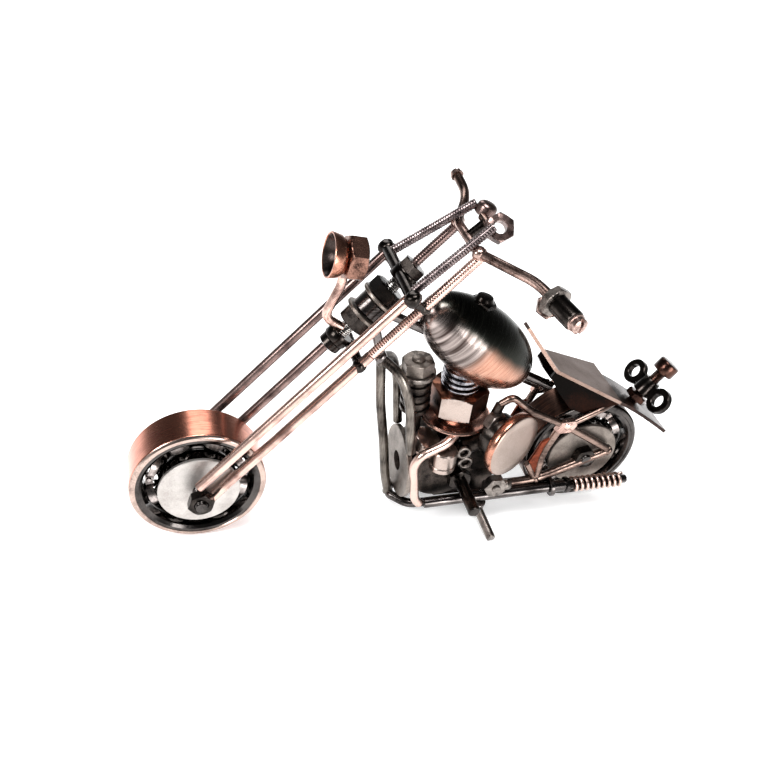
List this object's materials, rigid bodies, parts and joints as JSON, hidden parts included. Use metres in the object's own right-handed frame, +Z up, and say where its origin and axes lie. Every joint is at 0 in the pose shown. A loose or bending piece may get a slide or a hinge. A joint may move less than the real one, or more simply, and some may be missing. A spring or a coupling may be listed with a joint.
{
  "type": "nut-and-bolt model motorcycle",
  "caption": "Desk model of a long-forked chopper motorcycle, welded from copper-plated and dark steel nuts, bolts, washers and wire, with ball-bearing wheels.",
  "frame": {"origin": "middle of the bounding box, on the surface that the motorcycle stands on", "axes": "+Z up, -X forwards along the wheelbase, -Y towards the side with the stand and the exhaust"},
  "size_m": [0.1402, 0.0578, 0.0853],
  "materials": {
    "copper_plate": "copper-plated steel, satin, brushed",
    "black_nickel": "black-nickel-plated steel, glossy",
    "bare_steel": "bare grey steel, satin",
    "dark_copper": "dark antique copper plate over steel, satin",
    "ball_steel": "polished ball steel"
  },
  "bodies": {
    "frame": {"backbone": "black_nickel", "down_tubes": "bare_steel", "bottom_rails": "black_nickel", "rear_arms": "bare_steel", "upper_stays": "bare_steel", "stay_plates": "copper_plate", "fender_stays": "copper_plate", "fuel_tank": "copper_plate", "tank_cap": "black_nickel", "seat": "copper_plate", "rear_fender": "dark_copper", "tail_screw": "copper_plate", "crankcase": "black_nickel", "front_plate_washer": "bare_steel", "front_cylinder": "black_nickel", "front_cylinder_nut": "bare_steel", "rear_cylinder_nut": "bare_steel", "rear_cylinder_rings": "bare_steel", "dished_washer": "copper_plate", "side_cover": "copper_plate", "cover_block": "black_nickel", "header_pipe": "copper_plate", "exhaust_pipe": "black_nickel", "exhaust_stub": "black_nickel", "exhaust_coil": "bare_steel", "foot_pegs": "black_nickel", "pedal_nut": "bare_steel", "drive_link": "bare_steel", "stand_lug": "black_nickel", "rear_axle": "bare_steel", "rear_axle_nuts": "black_nickel", "rear_washers": "bare_steel", "rear_inner_ring": "bare_steel"},
    "front_wheel": {"front_outer_ring": "copper_plate"},
    "front_ball_set": {"front_balls": "ball_steel", "front_cage": "black_nickel"},
    "rear_wheel": {"rear_outer_ring": "dark_copper"},
    "rear_ball_set": {"rear_balls": "ball_steel", "rear_cage": "black_nickel"},
    "stand": {"side_stand": "bare_steel"},
    "wing": {"wing_nut": "black_nickel"},
    "steering": {"fork_wires": "copper_plate", "fork_bridge": "black_nickel", "stem_screw": "bare_steel", "stem_nuts": "black_nickel", "threaded_risers": "bare_steel", "handlebar": "dark_copper", "grip_nuts": "copper_plate", "grips": "black_nickel", "grip_screws": "copper_plate", "gauges": "black_nickel", "lamp_bracket": "copper_plate", "headlamp_cup": "copper_plate", "headlamp_nut": "black_nickel", "headlamp_lens": "bare_steel", "front_axle": "bare_steel", "front_axle_nuts": "black_nickel", "front_washers": "bare_steel", "front_inner_ring": "bare_steel"}
  },
  "joints": [
    {"name": "steer", "type": "hinge", "parent": "frame", "child": "steering", "pos_m": [-0.01561, 0.00648, 0.06153], "axis": [0.6691, 0, 0.7431], "range_deg": [-35, 35]},
    {"name": "front_wheel_spin", "type": "hinge", "parent": "steering", "child": "front_wheel", "pos_m": [-0.05411, 0.00648, 0.016], "axis": [0, 1, 0], "continuous": true},
    {"name": "front_balls_roll", "type": "hinge", "parent": "steering", "child": "front_ball_set", "pos_m": [-0.05411, 0.00648, 0.016], "axis": [0, 1, 0], "continuous": true},
    {"name": "rear_wheel_spin", "type": "hinge", "parent": "frame", "child": "rear_wheel", "pos_m": [0.04539, 0.00648, 0.016], "axis": [0, 1, 0], "continuous": true},
    {"name": "rear_balls_roll", "type": "hinge", "parent": "frame", "child": "rear_ball_set", "pos_m": [0.04539, 0.00648, 0.016], "axis": [0, 1, 0], "continuous": true},
    {"name": "stand_swing", "type": "hinge", "parent": "frame", "child": "stand", "pos_m": [0.01689, -0.00222, 0.0034], "axis": [0, -0.2524, 0.9676], "range_deg": [0, 80]},
    {"name": "wing_turn", "type": "hinge", "parent": "frame", "child": "wing", "pos_m": [0.0629, 0.00648, 0.03231], "axis": [0.5592, 0, 0.829], "range_deg": [0, 180]}
  ],
  "couplings": [
    {"joint": "front_balls_roll", "follows": "front_wheel_spin", "ratio": 0.625},
    {"joint": "rear_balls_roll", "follows": "rear_wheel_spin", "ratio": 0.625}
  ]
}
